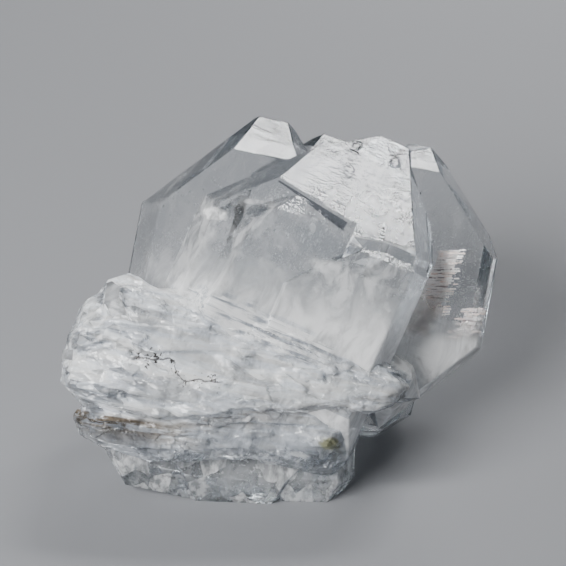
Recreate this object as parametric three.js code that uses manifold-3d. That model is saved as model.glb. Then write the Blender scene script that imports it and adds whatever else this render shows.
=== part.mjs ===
// Faden quartz cluster: clear tabular quartz crystals, grown side by side through one milky, fibrous root.
// Millimetres, +Z up. The origin is under the middle of the cluster, on the level where it rests. The
// crystals lean back over their feet, and their broad front faces look to -Y and up.
//
// Every crystal is quartz as it grows: six prism faces round the c axis, and six rhombohedral faces at
// each end, each at its own distance from the crystal's middle. The root is broken, layered quartz. All
// of it has grown together, so it is one solid, cut flat where it rests.
import * as THREE from "three";
import { ConvexGeometry } from "three/addons/geometries/ConvexGeometry.js";
import { mergeVertices } from "three/addons/utils/BufferGeometryUtils.js";
import Module from "manifold-3d";

// ---------------------------------------------------------------- crystals' dimensions

const FACE_SLOPE = 50; // degrees from the horizontal to the crystals' broad faces
const RHOMB_RISE = 38.21; // degrees that a rhombohedral face's normal rises up the c axis, in all quartz
const EDGE_WEAR = 0.2; // width of the worn strip along a crystal's edges
const SHORTEST_WORN_EDGE = 1.2;
const REST_LEVEL = -22.9; // height of the resting cut, before the origin is moved down to it

// Places are [across, up, out]: across is +X, up runs up the broad faces and out is square to them.
// lean tips the c axis to the right, and tip lays its top back, in degrees. front and back are the
// distances of the broad faces, and sides those of the other prism faces: right front, right back, left
// back and left front. top and bottom say how far up and down the c axis each rhombohedral face would
// meet it, beginning with the one over the front face and going round by the right. facets are further
// faces, grown a little out of true: azimuth from the front face by the right, rise, and distance.
const CRYSTALS = {
  leftPlate: {
    at: [-9.2, 0, -6.3], lean: 11, front: 4.3, back: 4.3, sides: [11, 11, 12.6, 11.5],
    top: [28.6, 34.2, 35.5, 29.3, 29, 28.1], bottom: [24, 30, 30, 24, 30, 30],
  },
  backRidge: {
    at: [3, 5, -13], lean: 17, front: 4.5, back: 3, sides: [9, 9, 10, 10],
    top: [21.4, 26, 26, 21.4, 25.5, 24.5], bottom: [22, 26, 26, 22, 27, 26],
  },
  mainBody: {
    at: [2, 0, -4], lean: 24, front: 10.6, back: 9, sides: [16, 11, 14.2, 17.8],
    top: [27.5, 34.1, 38.4, 29.1, 27.4, 32.4], bottom: [20, 26, 26, 20, 30, 30],
    facets: [[-6, 0, 9.85]],
  },
  mainShoulder: {
    at: [2, 0, -4], lean: 24, front: 12, back: 3, sides: [16, 11, 1, 3],
    top: [27.5, 34.1, 38.4, 29.1, 29.5, 33], bottom: [20, 26, 26, 20, 30, 30],
    facets: [[10, 0, 11.9], [-90, 0, -3]],
  },
  frontStep: {
    at: [2, 0, -4], lean: 31, front: 12, back: 2, sides: [8, 7, 11, 15.5],
    top: [26.2, 31, 31, 27, 27, 29], bottom: [22, 26, 26, 22, 26, 26],
    facets: [[10, 0, 10.2]],
  },
  frontCrystal: {
    at: [11, -2.5, 2], lean: 24, front: 5.6, back: 4, sides: [6, 4.6, 11, 13],
    top: [17, 17.8, 18, 19, 19, 18.3], bottom: [19, 26, 26, 22, 24, 24],
  },
  rightPlate: {
    at: [20, 4, -5.75], lean: 10.4, front: 2.75, back: 2.75, sides: [9.9, 8.8, 12, 12],
    top: [19.6, 18, 20, 19.9, 25, 25], bottom: [22, 20.2, 20, 22, 24, 24],
  },
  lowerLeftPlate: {
    at: [-17, -18, -3], lean: 12, front: 3, back: 4, sides: [10, 10, 9.8, 9.8],
    top: [20, 22, 22, 20, 22, 22], bottom: [8.1, 16, 16, 8.3, 12.2, 12.2],
  },
  lowerMiddlePlate: {
    at: [-6, -18, -3], lean: 5, front: 3.2, back: 4, sides: [10, 10, 10, 10],
    top: [20, 22, 22, 20, 22, 22], bottom: [10.1, 16, 16, 10.1, 16, 16],
  },
  lowerRightPlate: {
    at: [4, -18, -4], lean: 2, front: 4, back: 4, sides: [5.8, 6.4, 8, 8],
    top: [20, 22, 22, 20, 22, 22], bottom: [11.2, 13.8, 13.8, 10.8, 14, 14],
  },
  leftBud: {
    at: [-21.6, -1.2, 5.1], lean: -28, tip: 12, front: 2.4, back: 3, sides: [2.1, 2.3, 2.2, 2.4],
    top: [5.8, 6.8, 6.6, 6, 6.4, 6], bottom: [6, 6, 6, 6, 6, 6],
  },
  middleBud: {
    at: [-17.2, -2.4, 4.9], lean: 26, tip: 8, front: 2.2, back: 3, sides: [2, 2.4, 2.2, 2.1],
    top: [5.4, 6, 6.4, 5.6, 6.2, 5.5], bottom: [6, 6, 6, 6, 6, 6],
  },
  rightKnob: {
    at: [16.4, -9.8, 0.4], lean: 124, tip: 14, front: 2.8, back: 3.4, sides: [2.5, 2.4, 2.5, 2.8],
    top: [4.6, 5, 5.2, 4.8, 5, 4.4], bottom: [6, 6, 6, 6, 6, 6],
  },
  rightSlab: {
    at: [6, -17.4, 5.2], lean: 8, tip: 58, front: 1.4, back: 1.2, sides: [4.2, 4.8, 4.9, 4.4],
    top: [3.6, 4.4, 4.2, 3.6, 4, 4.2], bottom: [2.8, 3.4, 3.6, 2.8, 3.5, 3.3],
  },
  rearStep: {
    at: [-7, -3, -11.5], lean: 15, front: 3, back: 2.2, sides: [6, 6, 7, 7],
    top: [20, 22, 22, 19, 23, 23], bottom: [13, 15, 15, 13, 15, 15],
  },
  rearBlade: {
    at: [13, 0, -10.5], lean: 20, tip: 4, front: 3, back: 2.4, sides: [5, 5, 5.5, 5.5],
    top: [17, 19, 19, 16, 19, 19], bottom: [15, 17, 17, 15, 17, 17],
  },
  rearRightFoot: {
    at: [15, -8, -11], lean: 14, tip: -14, front: 3, back: 3, sides: [5.5, 5.5, 5.5, 5.5],
    top: [14, 15, 15, 14, 15, 15], bottom: [12.7, 13.7, 13.7, 12.7, 13.7, 13.7],
  },
  rearMiddleFoot: {
    at: [2, -8, -13], lean: 5, tip: -38, front: 3, back: 3, sides: [6, 6, 6, 6],
    top: [14, 15, 15, 14, 15, 15], bottom: [12.4, 13.4, 13.4, 12.4, 13.4, 13.4],
  },
  rearLeftFoot: {
    at: [-13, -8, -11], lean: 12, tip: -34, front: 3, back: 3, sides: [6, 6, 6, 6],
    top: [14, 15, 15, 14, 15, 15], bottom: [12.4, 13.4, 13.4, 12.4, 13.4, 13.4],
  },
};

// ---------------------------------------------------------------- root's dimensions

// The root is two masses of layered quartz, one on the other. top and foot are the lines between which a
// mass lies, as [across, up]; its layers fan out between them. layers gives the share of the way down at
// which each of its layers begins. The ends, front and back are given at shares of the way down too.
const ROOT_MASSES = [
  {
    top: [
      [-28.6, 1.6], [-25.4, 3], [-24, 4.8], [-21, 5.4], [-17.6, 3.4], [-11, 3], [-1, 1], [8, -2.4],
      [15, -6.4], [22, -10],
    ],
    foot: [[-29, -14.2], [-17, -16.2], [-5.5, -15.2], [3, -14.4], [12.7, -14.8], [17, -13], [22, -12]],
    layers: [0, 0.27, 0.44, 0.66, 0.8, 0.91],
    left: [[0, -28.4], [0.2, -29.6], [0.45, -30.4], [0.8, -30.8], [1, -28.6]],
    right: [[0, 16], [0.5, 18.6], [1, 17]],
    front: [[0, 3.4], [0.1, 5.8], [0.24, 7.5], [0.45, 8.7], [0.72, 9.2], [0.9, 8.4], [1, 5.4]],
    back: [[0, -5], [0.2, -9], [0.7, -10], [1, -7]],
  },
  {
    top: [[-29, -13], [-24, -12.2], [-5.5, -12.6], [3, -12], [12, -12.4]],
    foot: [
      [-29, -18.2], [-26, -19.6], [-20, -21.2], [-12.8, -21.8], [-3.6, -20.8], [0.7, -22.4], [4.2, -23.6],
      [7.8, -24], [12, -21],
    ],
    layers: [0, 0.36, 0.5, 0.76],
    left: [[0, -28.8], [0.5, -29], [0.8, -28.6], [1, -26]],
    right: [[0, 11.6], [0.8, 11], [1, 9.4]],
    front: [[0, 6], [0.4, 6.4], [0.75, 5.2], [0.95, 3.6], [1, 2]],
    back: [[0, -9], [0.7, -9.6], [1, -6]],
  },
];
const ROWS_IN_LAYER = [0.06, 0.5, 0.94]; // shares of the way down a layer
const STATIONS = 31; // steps from one end of a mass to the other
const END_DEPTH = 0.4; // a mass's end, as shares of its middle's depth and height
const END_HEIGHT = 0.8;
const LEDGE = 0.9; // most that a layer's foot stands out from the layer below
const LAYER_BULGE = 0.6; // how far a layer wanders out and in along its length
const LAYER_WAVE = 0.5; // and up and down
const ROUGHNESS = 0.24; // how far each corner strays across and out
const ROUGHNESS_UP = 0.1; // and up or down
const CORNER_SPACING = [2, 8]; // between the corners of those wandering lines
const LINE_REACH = 36; // how far the wandering lines run to each side

// Chips are small broken lumps let into the front and the back of the root.
const CHIPS = 32;
const CHIP_DOWN = [0.35, 0.9]; // where they lie, as shares of the way down a mass and along it
const CHIP_ALONG = [0.1, 0.9];
const CHIP_CORNERS = 12;
const CHIP_LENGTH = [2, 6];
const CHIP_HEIGHT = [1.2, 3];
const CHIP_DEPTH = 3;
const CHIP_LEDGE = [0.35, 0.9];
const CHIP_ASKEW = 24; // degrees that a chip leans off the grain, at most

// Where the runs of chance numbers start, so that no two pieces share one.
const SEEDS = { corners: 300, front: 400, back: 900, chips: 5300 };
const SEEDS_FOR_MASS = 100;
const SEEDS_TO_LEDGES = 20;
const SEEDS_TO_WAVES = 40;

const MERGE_DISTANCE = 1e-4; // corners closer than this are one
const TOUCHING = 1e-5; // a point this close to a plane lies on it
const CUT_REACH = 200; // size of the block that makes the resting cut

// ---------------------------------------------------------------- frames and solids

const radians = THREE.MathUtils.degToRad;
const wasm = await Module();
wasm.setup();

// Axes that put X out of the front face, Y to the right and Z up the c axis.
const crystalAxes = new THREE.Matrix4().makeBasis(
  new THREE.Vector3(0, 0, 1),
  new THREE.Vector3(1, 0, 0),
  new THREE.Vector3(0, 1, 0),
);

function placed({ at, lean = 0, tip = 0, turn = 0 }) {
  const frame = new THREE.Matrix4().makeTranslation(...at);
  frame.multiply(new THREE.Matrix4().makeRotationZ(radians(-lean)));
  frame.multiply(new THREE.Matrix4().makeRotationX(radians(-tip)));
  frame.multiply(new THREE.Matrix4().makeRotationY(radians(turn)));
  return frame;
}

function solidOf(geometry) {
  const bare = geometry.clone();
  bare.deleteAttribute("normal");
  bare.deleteAttribute("uv");
  const merged = mergeVertices(bare, MERGE_DISTANCE);
  return new wasm.Manifold(
    new wasm.Mesh({
      numProp: 3,
      vertProperties: merged.attributes.position.array,
      triVerts: new Uint32Array(merged.index.array),
    }),
  );
}

function geometryOf(solid) {
  const { vertProperties, triVerts } = solid.getMesh();
  const geometry = new THREE.BufferGeometry();
  geometry.setAttribute("position", new THREE.BufferAttribute(vertProperties, 3));
  geometry.setIndex(new THREE.BufferAttribute(triVerts, 1));
  return geometry;
}

// ---------------------------------------------------------------- crystals

// A face of a crystal: its outside is the plane's positive side.
function face(azimuth, rise, distance) {
  const level = Math.cos(radians(rise));
  const normal = new THREE.Vector3(
    level * Math.cos(radians(azimuth)),
    level * Math.sin(radians(azimuth)),
    Math.sin(radians(rise)),
  );
  return new THREE.Plane(normal, -distance);
}

function facesOf({ front, back, sides, top, bottom, facets = [] }) {
  const prism = [front, sides[0], sides[1], back, sides[2], sides[3]];
  const alongAxis = Math.sin(radians(RHOMB_RISE));
  const regular = prism.flatMap((distance, side) => [
    face(60 * side, 0, distance),
    face(60 * side, RHOMB_RISE, top[side] * alongAxis),
    face(60 * side, -RHOMB_RISE, bottom[side] * alongAxis),
  ]);
  return [...regular, ...facets.map((facet) => face(...facet))];
}

// The point where three faces meet, unless another face cuts it off.
function cornerOf(a, b, c, faces) {
  const bc = new THREE.Vector3().crossVectors(b.normal, c.normal);
  const ca = new THREE.Vector3().crossVectors(c.normal, a.normal);
  const ab = new THREE.Vector3().crossVectors(a.normal, b.normal);
  const spread = a.normal.dot(bc);
  if (Math.abs(spread) < TOUCHING) return null;
  const corner = bc.multiplyScalar(-a.constant);
  corner.addScaledVector(ca, -b.constant);
  corner.addScaledVector(ab, -c.constant);
  corner.divideScalar(spread);
  return faces.every((other) => other.distanceToPoint(corner) < TOUCHING) ? corner : null;
}

function cornersOf(faces) {
  const corners = [];
  faces.forEach((a, i) =>
    faces.slice(i + 1).forEach((b, j) =>
      faces.slice(i + j + 2).forEach((c) => {
        const corner = cornerOf(a, b, c, faces);
        if (corner) corners.push(corner);
      }),
    ),
  );
  return corners;
}

// A narrow worn strip along each longer edge, square to the line halfway between its two faces.
function wearOf(faces) {
  const corners = cornersOf(faces);
  const isOn = (plane, point) => Math.abs(plane.distanceToPoint(point)) < TOUCHING;
  const wear = [];
  faces.forEach((a, i) =>
    faces.slice(i + 1).forEach((b) => {
      const ends = corners.filter((corner) => isOn(a, corner) && isOn(b, corner));
      const length = Math.max(0, ...ends.map((end) => end.distanceTo(ends[0])));
      if (length < SHORTEST_WORN_EDGE) return;
      const normal = a.normal.clone().add(b.normal).normalize();
      const depth = (EDGE_WEAR / 2) * Math.tan(a.normal.angleTo(b.normal) / 2);
      wear.push(new THREE.Plane(normal, depth - normal.dot(ends[0])));
    }),
  );
  return wear;
}

function crystal(sizes) {
  const faces = facesOf(sizes);
  const geometry = new ConvexGeometry(cornersOf([...faces, ...wearOf(faces)]));
  geometry.applyMatrix4(placed(sizes).multiply(crystalAxes));
  return solidOf(geometry);
}

// ---------------------------------------------------------------- root

const STATES = 2147483647; // a prime, so that multiplying by MULTIPLIER visits every state
const MULTIPLIER = 16807;
const SEED_SPREAD = 7919;

// The same run of numbers from 0 to 1 for the same seed.
function numbersFrom(seed) {
  let state = SEED_SPREAD * (seed + 1);
  return () => {
    state = (state * MULTIPLIER) % STATES;
    return state / STATES;
  };
}

const betweenOf = (next) => ([least, most]) => least + (most - least) * next();

// The height of a line of [x, y] points at x.
function heightOn(line, x) {
  const next = line.findIndex((point) => point[0] >= x);
  if (next < 1) return next ? line.at(-1)[1] : line[0][1];
  const [[startX, startY], [endX, endY]] = [line[next - 1], line[next]];
  return THREE.MathUtils.mapLinear(x, startX, endX, startY, endY);
}

// A line that wanders between -1 and 1 as x goes from one end of the root to the other.
function wanderingLine(seed) {
  const next = numbersFrom(seed);
  const between = betweenOf(next);
  const corners = [];
  for (let x = -LINE_REACH; x < LINE_REACH; x += between(CORNER_SPACING)) {
    corners.push([x, between([-1, 1])]);
  }
  return (x) => heightOn(corners, x);
}

// The rows of corners down one side of a mass. Each layer stands out most at its foot.
function rowsOf({ layers }, seed) {
  const bulges = layers.map((_, index) => wanderingLine(seed + index));
  const ledges = layers.map((_, index) => wanderingLine(seed + SEEDS_TO_LEDGES + index));
  const waves = [...layers, 1].map((_, index) => wanderingLine(seed + SEEDS_TO_WAVES + index));
  return layers.flatMap((start, index) => {
    const end = layers[index + 1] ?? 1;
    return ROWS_IN_LAYER.map((down) => ({
      share: start + down * (end - start),
      standOut: (x) => LAYER_BULGE * bulges[index](x) + (down - 0.5) * LEDGE * Math.abs(ledges[index](x)),
      rise: (x) => LAYER_WAVE * THREE.MathUtils.lerp(waves[index](x), waves[index + 1](x), down),
    }));
  });
}

// A mass begins as a closed cylinder lying along X. Its rings become the mass's stations, and its sides
// the rows of corners, down the front and up the back.
function rootMass(mass, index) {
  const between = betweenOf(numbersFrom(SEEDS.corners + index));
  const stray = (most) => between([-most, most]);
  const seed = SEEDS_FOR_MASS * index;
  const front = rowsOf(mass, seed + SEEDS.front).map((row) => ({ ...row, side: 1, depth: mass.front }));
  const back = rowsOf(mass, seed + SEEDS.back).map((row) => ({ ...row, side: -1, depth: mass.back }));
  const rows = [...front, ...back.reverse()];
  const tube = new THREE.CylinderGeometry(1, 1, 1, rows.length, STATIONS);
  tube.deleteAttribute("normal");
  tube.deleteAttribute("uv");
  const geometry = mergeVertices(tube, MERGE_DISTANCE);
  const corners = geometry.attributes.position;
  for (let i = 0; i < corners.count; i += 1) {
    const [onX, onY, onZ] = [corners.getX(i), corners.getY(i), corners.getZ(i)];
    const turn = Math.atan2(onX, onZ) / (2 * Math.PI);
    const row = rows[Math.round(turn * rows.length + rows.length) % rows.length];
    const along = 0.5 + onY;
    const x = THREE.MathUtils.lerp(heightOn(mass.left, row.share), heightOn(mass.right, row.share), along);
    const depth = Math.hypot(onX, onZ) * roundedEnd(END_DEPTH, along);
    const height = Math.hypot(onX, onZ) * roundedEnd(END_HEIGHT, along);
    const top = heightOn(mass.top, x);
    const foot = heightOn(mass.foot, x);
    const up = THREE.MathUtils.lerp(top, foot, 0.5 + (row.share - 0.5) * height);
    const out = heightOn(row.depth, row.share) + row.side * row.standOut(x);
    const strays = [stray(ROUGHNESS), stray(ROUGHNESS_UP), stray(ROUGHNESS)];
    corners.setXYZ(i, x + strays[0], up + row.rise(x) + strays[1], depth * out + strays[2]);
  }
  return solidOf(geometry);
}

// A mass's size somewhere along it, as a share of its size in the middle: it rounds off to both ends.
function roundedEnd(endShare, along) {
  return THREE.MathUtils.lerp(endShare, 1, Math.cbrt(1 - (2 * along - 1) ** 4));
}

// A chip on the front of the root, or on its back.
function chip(_, index) {
  const next = numbersFrom(SEEDS.chips + index);
  const between = betweenOf(next);
  const mass = ROOT_MASSES[index % 3 ? 0 : 1];
  const share = between(CHIP_DOWN);
  const along = between(CHIP_ALONG);
  const x = THREE.MathUtils.lerp(heightOn(mass.left, share), heightOn(mass.right, share), along);
  const up = THREE.MathUtils.lerp(heightOn(mass.top, x), heightOn(mass.foot, x), share);
  const side = index % 4 ? 1 : -1;
  const surface = roundedEnd(END_DEPTH, along) * heightOn(side > 0 ? mass.front : mass.back, share);
  const out = surface + side * (between(CHIP_LEDGE) - CHIP_DEPTH / 2);
  const size = new THREE.Vector3(between(CHIP_LENGTH), between(CHIP_HEIGHT), CHIP_DEPTH);
  const corners = Array.from({ length: CHIP_CORNERS }, () =>
    new THREE.Vector3(next() - 0.5, next() - 0.5, next() - 0.5).normalize().multiply(size).divideScalar(2),
  );
  const geometry = new ConvexGeometry(corners);
  geometry.applyMatrix4(placed({ at: [x, up, out], lean: CHIP_ASKEW * next() }));
  return solidOf(geometry);
}

// ---------------------------------------------------------------- cluster

// Everything below the level on which the cluster rests.
function underRest() {
  const below = new THREE.BoxGeometry(CUT_REACH, CUT_REACH, CUT_REACH);
  below.translate(0, 0, REST_LEVEL - CUT_REACH / 2);
  return solidOf(below);
}

function clusterGeometry() {
  const pieces = [
    ...Object.values(CRYSTALS).map(crystal),
    ...ROOT_MASSES.map(rootMass),
    ...Array.from({ length: CHIPS }, chip),
  ];
  const grown = geometryOf(wasm.Manifold.union(pieces));
  grown.applyMatrix4(new THREE.Matrix4().makeRotationX(radians(FACE_SLOPE)));
  const geometry = geometryOf(solidOf(grown).subtract(underRest()));
  geometry.computeBoundingBox();
  const middle = geometry.boundingBox.getCenter(new THREE.Vector3());
  geometry.translate(-middle.x, -middle.y, -REST_LEVEL);
  geometry.computeVertexNormals();
  return geometry;
}

const quartz = new THREE.MeshStandardMaterial({ color: 0xe6eaf0, roughness: 0.12, metalness: 0 });
const cluster = new THREE.Mesh(clusterGeometry(), quartz);
cluster.name = "quartz_cluster";

const part = new THREE.Group();
part.add(cluster);
export default part;
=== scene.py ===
"""Faden quartz cluster: clear flat crystals with veils in them, grown through a milky, fibrous root.

Everything is in metres, in the frame's own place. Sizes of the crystals and the root are easier to read
in their own frame, where x runs across, u up the crystals' broad faces and w out of them. Those are given
in millimetres, and placed() turns them into places in the frame.
"""
import math

import bmesh
import bpy
from mathutils import Matrix, Vector, noise


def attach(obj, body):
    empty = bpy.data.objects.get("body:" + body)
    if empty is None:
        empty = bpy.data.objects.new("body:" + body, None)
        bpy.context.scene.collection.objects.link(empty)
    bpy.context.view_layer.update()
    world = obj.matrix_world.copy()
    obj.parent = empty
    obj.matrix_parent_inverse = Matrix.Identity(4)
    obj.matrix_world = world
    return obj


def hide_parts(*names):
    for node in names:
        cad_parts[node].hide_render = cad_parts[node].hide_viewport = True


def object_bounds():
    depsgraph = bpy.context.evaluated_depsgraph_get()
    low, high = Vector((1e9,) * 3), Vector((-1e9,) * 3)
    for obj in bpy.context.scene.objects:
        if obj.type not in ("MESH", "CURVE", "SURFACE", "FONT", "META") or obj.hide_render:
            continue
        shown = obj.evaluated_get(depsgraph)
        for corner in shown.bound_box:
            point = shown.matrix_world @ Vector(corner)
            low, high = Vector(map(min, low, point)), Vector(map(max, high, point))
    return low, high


bl_info = {
    "name": "Faden Quartz Cluster",
    "version": (1, 0, 0),
    "blender": (4, 5, 0),
    "location": "View3D > Sidebar > Quartz",
    "description": "Finishes a faden quartz cluster: its faces, fibrous root, veils and studio",
    "category": "Add Mesh",
}

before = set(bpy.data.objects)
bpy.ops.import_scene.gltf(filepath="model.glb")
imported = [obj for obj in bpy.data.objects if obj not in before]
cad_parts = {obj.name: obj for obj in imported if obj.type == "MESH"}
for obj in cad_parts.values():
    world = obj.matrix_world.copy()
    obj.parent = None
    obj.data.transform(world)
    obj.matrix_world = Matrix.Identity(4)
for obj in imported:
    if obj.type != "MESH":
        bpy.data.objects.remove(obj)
CAD_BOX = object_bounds()
NODE = "quartz_cluster"
BODY = "root"

# ---- driving sizes, in millimetres

MM = 0.001
FACE_SLOPE = math.radians(50)  # from the level to the crystals' broad faces
RIGHT_TIP = 31.54  # x of the rightmost crystal corner
BACK_TIP = 27.18  # how far behind the crystals' middle the last corner lies
REST_DROP = 22.9  # from the crystals' middle down to the resting face
CRYSTAL_LEAN = math.radians(22)  # of the c axes to the right, on average
GRAIN_LEAN = math.radians(12)  # of the root's fibres, falling to the right

VIEW_DISTANCE = 250
VIEW_CENTRE = (0.43, 3.85)  # where the view's middle meets w = 0
VIEW_WIDTH = 80.65  # of what is seen at w = 0
SENSOR_WIDTH = 36
NEAREST_SEEN = 0.01  # metres from the camera

FRAME_SHIFT = Vector((CAD_BOX[1][0] / MM - RIGHT_TIP, CAD_BOX[1][1] / MM - BACK_TIP, REST_DROP))
TO_FRAME = Matrix.Scale(MM, 4) @ Matrix.Translation(FRAME_SHIFT) @ Matrix.Rotation(FACE_SLOPE, 4, "X")
FROM_FRAME = TO_FRAME.inverted()


def placed(x, u, w):
    """The place in the frame of a point given in the crystals' own frame."""
    return TO_FRAME @ Vector((x, u, w))


# ---- node trees


class Flow:
    """A number or vector on its way through a node tree. Arithmetic on it adds the nodes."""

    def __init__(self, tree, socket):
        self.tree = tree
        self.socket = socket

    def node(self, kind, *inputs, **settings):
        """A new node in the same tree. Each input is a socket's name or number and what goes into it."""
        made = self.tree.nodes.new(kind)
        for name, value in settings.items():
            setattr(made, name, value)
        for name, value in inputs:
            feed(value, made.inputs[name])
        return made

    def through(self, kind, *inputs, out=0, **settings):
        """What comes out of a new node."""
        return Flow(self.tree, self.node(kind, *inputs, **settings).outputs[out])

    def maths(self, operation, *others):
        return self.through("ShaderNodeMath", *enumerate((self, *others)), operation=operation)

    def vectors(self, operation, other, out=0):
        return self.through("ShaderNodeVectorMath", (0, self), (1, other), out=out, operation=operation)

    def __add__(self, other):
        return self.maths("ADD", other)

    def __sub__(self, other):
        return self.maths("SUBTRACT", other)

    def __mul__(self, other):
        return self.maths("MULTIPLY", other)

    def over(self, other):
        return self.maths("MAXIMUM", other)

    def flipped(self):
        return self.through("ShaderNodeMath", (0, 1.0), (1, self), operation="SUBTRACT", use_clamp=True)

    def eased(self, start, end, low=0.0, high=1.0):
        """Goes smoothly from low to high as the number goes from start to end."""
        return self.through(
            "ShaderNodeMapRange",
            ("Value", self),
            ("From Min", start),
            ("From Max", end),
            ("To Min", low),
            ("To Max", high),
            interpolation_type="SMOOTHSTEP",
        )

    def stretched(self, scale, turn=0.0):
        """The place turned about w, then scaled along each axis."""
        turned = self.through("ShaderNodeMapping", ("Vector", self), ("Rotation", (0, 0, turn)))
        return turned.through("ShaderNodeMapping", ("Vector", turned), ("Scale", scale))

    def clouds(self, scale, detail=3.0, roughness=0.55, distortion=0.0):
        """Noise from 0 to 1 at this place."""
        return self.through(
            "ShaderNodeTexNoise",
            ("Vector", self),
            ("Scale", scale),
            ("Detail", detail),
            ("Roughness", roughness),
            ("Distortion", distortion),
        )

    def chips(self, scale):
        """Flat chips in random cells, each with its own lean: their height, and each one's random share."""
        cells = self.node("ShaderNodeTexVoronoi", ("Vector", self), ("Scale", scale))
        middle, own = (Flow(self.tree, cells.outputs[name]) for name in ("Position", "Color"))
        lean = own.vectors("SUBTRACT", (0.5, 0.5, 0.5))
        return self.vectors("SUBTRACT", middle).vectors("DOT_PRODUCT", lean, "Value"), own.parts()[0]

    def parts(self):
        """The three parts of a place."""
        made = self.node("ShaderNodeSeparateXYZ", ("Vector", self))
        return [Flow(self.tree, out) for out in made.outputs]

    def patch(self, edge, middle, size, lean=0.0):
        """1 in an oval patch of the broad faces, going to 0 at its edge. size is its half axes.

        edge is a noise that makes the edge ragged, or 0.
        """
        own = self.vectors("SUBTRACT", (*middle, 0.0)).stretched((1 / size[0], 1 / size[1], 0.0), lean)
        return (own.vectors("DISTANCE", (0.0, 0.0, 0.0), "Value") + edge).eased(0.5, 1.0, 1.0, 0.0)

    def tinted(self, low, high):
        """The colour between low and high at this share."""
        return self.through("ShaderNodeMix", (0, self), (6, low), (7, high), out=2, data_type="RGBA")


def feed(value, socket):
    if isinstance(value, Flow):
        value.tree.links.new(value.socket, socket)
    elif socket.type == "RGBA" and len(value) == 3:
        socket.default_value = (*value, 1.0)
    else:
        socket.default_value = value


def new_material(name):
    """A material, its shader, and its place in the crystals' own frame, in millimetres."""
    material = bpy.data.materials.new(name)
    material.use_nodes = True
    tree = material.node_tree
    start = Flow(tree, tree.nodes.new("ShaderNodeTexCoord").outputs["Object"])
    place = start.through(
        "ShaderNodeMapping",
        ("Vector", start),
        ("Location", FROM_FRAME.to_translation()),
        ("Rotation", (-FACE_SLOPE, 0, 0)),
        ("Scale", (1 / MM, 1 / MM, 1 / MM)),
    )
    return material, tree.nodes["Principled BSDF"], place


def bumped(place, height, distance, below=None):
    """Normals bent by a height from 0 to 1 that stands for a distance in metres."""
    lower = [("Normal", below)] if below else []
    return place.through("ShaderNodeBump", ("Distance", distance), ("Height", height), *lower)


# ---- quartz

QUARTZ_IOR = 1.544
QUARTZ_TINT = (0.78, 0.86, 0.92, 1.0)  # of its depth
SUBSURFACE = 0.7  # how much of what it scatters comes from inside
GROWTH_RELIEF = 0.06  # millimetres, on the crystal faces
CHIP_RELIEF = 0.6  # millimetres, on the root

CLEAR = (0.965, 0.975, 0.985)
MILK = (0.9, 0.935, 0.985)
SILK = (0.97, 0.985, 1.0)
CREAM = (0.87, 0.875, 0.87)
GREY = (0.5, 0.53, 0.575)
# painted shade: the darker colour of the narrow step, standing in for the dark that this steep facet shows
PAINTED_SHADE = (0.2, 0.21, 0.23)
CLAY = (0.26, 0.215, 0.165)
SPECK = (0.035, 0.025, 0.02)
MOSS = (0.36, 0.36, 0.2)

# Places of single marks, across and up, and patches as middle, half axes and lean.
SWIRLS = ((10.8, 23.8), (16.2, 21.2), (9.6, 20.0))  # on the main crystal's top face
SWIRL_RINGS = 5.6
# The strip of painted shade on the narrow step: its ends, and its width at them.
STEP_ENDS = ((0.0, 18.2), (9.6, 12.2))  # along the foot of the same face
STEP_WIDTH = (0.35, 1.35)  # at its two ends
SPECK_LINE = ((-15.4, -6.5), (-13.2, -9.5))  # the dark crack steps down between these places
MOSSY_SPOT = ((7.0, -18.6), (1.9, 1.2))
SILKY_ZONE = ((-3.5, -1.8), (16.0, 3.2), 2 * GRAIN_LEAN)  # where the root's fibres show as fine bright lines
CALM_ZONE = ((-11.0, -6.2), (7.5, 3.8), GRAIN_LEAN)  # where the root's front is smooth and evenly milky
RAGGED = 1.2  # how ragged the edges of patches are

# Heights u and depths w between which one look goes over into the other.
FEET = (-20.5, -18.5)  # the root's glassy feet end here
LEDGE_FADE = (-1.2, 0.6)  # round the main ledge
SEEN_FRONT = (-2.5, 0.5)  # the main crystals' front faces

# Noise is drawn out along each axis by one over these.
FIBRE_STRETCH = (0.16, 1.2, 1.2)
SILK_STRETCH = (0.05, 1.7, 1.7)
LAYER_STRETCH = (0.1, 1.6, 1.6)
CHIP_STRETCH = (0.5, 1.3, 1.3)
PRISM_STRETCH = (0.35, 5.0, 0.35)  # striations run across the c axis
COARSE_CHIPS = 0.6  # chips to a millimetre
FINE_CHIPS = 1.5
FOOT_PANES = 0.34

# Milky patches inside the main crystals, seen through their front faces: middle, half axes, lean, strength.
MILKY_PATCHES = [
    ((-12.4, 10.4), (4.6, 8.6), 24, 0.42),
    ((-9.0, 13.6), (2.6, 1.3), 10, 0.85),
    ((-3.4, 12.2), (0.9, 6.4), 45, 0.4),
    ((-3.6, 15.2), (1.9, 0.6), 0, 0.4),
    ((-5.0, 6.0), (9.0, 3.0), 14, 0.3),
    ((9.0, 3.0), (9.5, 4.6), 20, 0.5),
    ((14.5, 6.0), (3.6, 2.2), 0, 0.35),
]
CLEAR_WINDOWS = [
    ((-3.2, 13.9), (2.2, 1.3), 0, 1.0),
    ((5.2, 9.6), (5.6, 2.4), 26, 1.0),
    ((17.0, 7.4), (2.4, 1.8), 0, 0.9),
    ((3.6, 4.6), (2.6, 1.8), 0, 0.5),
    ((-9.6, 8.0), (1.6, 3.4), 24, 0.45),
]


def above_root(place):
    """Height above the slanting line where the crystals leave the root."""
    x, u, _ = place.parts()
    return u + x * 0.25 + 0.9


def above_ledge(place):
    """Height above the root's main ledge, which dips towards its left third."""
    x, u, _ = place.parts()
    return u - (x + 15.0).maths("ABSOLUTE") * 0.16 + 16.0


def strongest(place, edge, patches):
    """The strongest of a list of patches at each place."""
    total = None
    for middle, size, lean, strength in patches:
        shown = place.patch(edge, middle, size, math.radians(lean)) * strength
        total = shown if total is None else total.over(shown)
    return total


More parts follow.
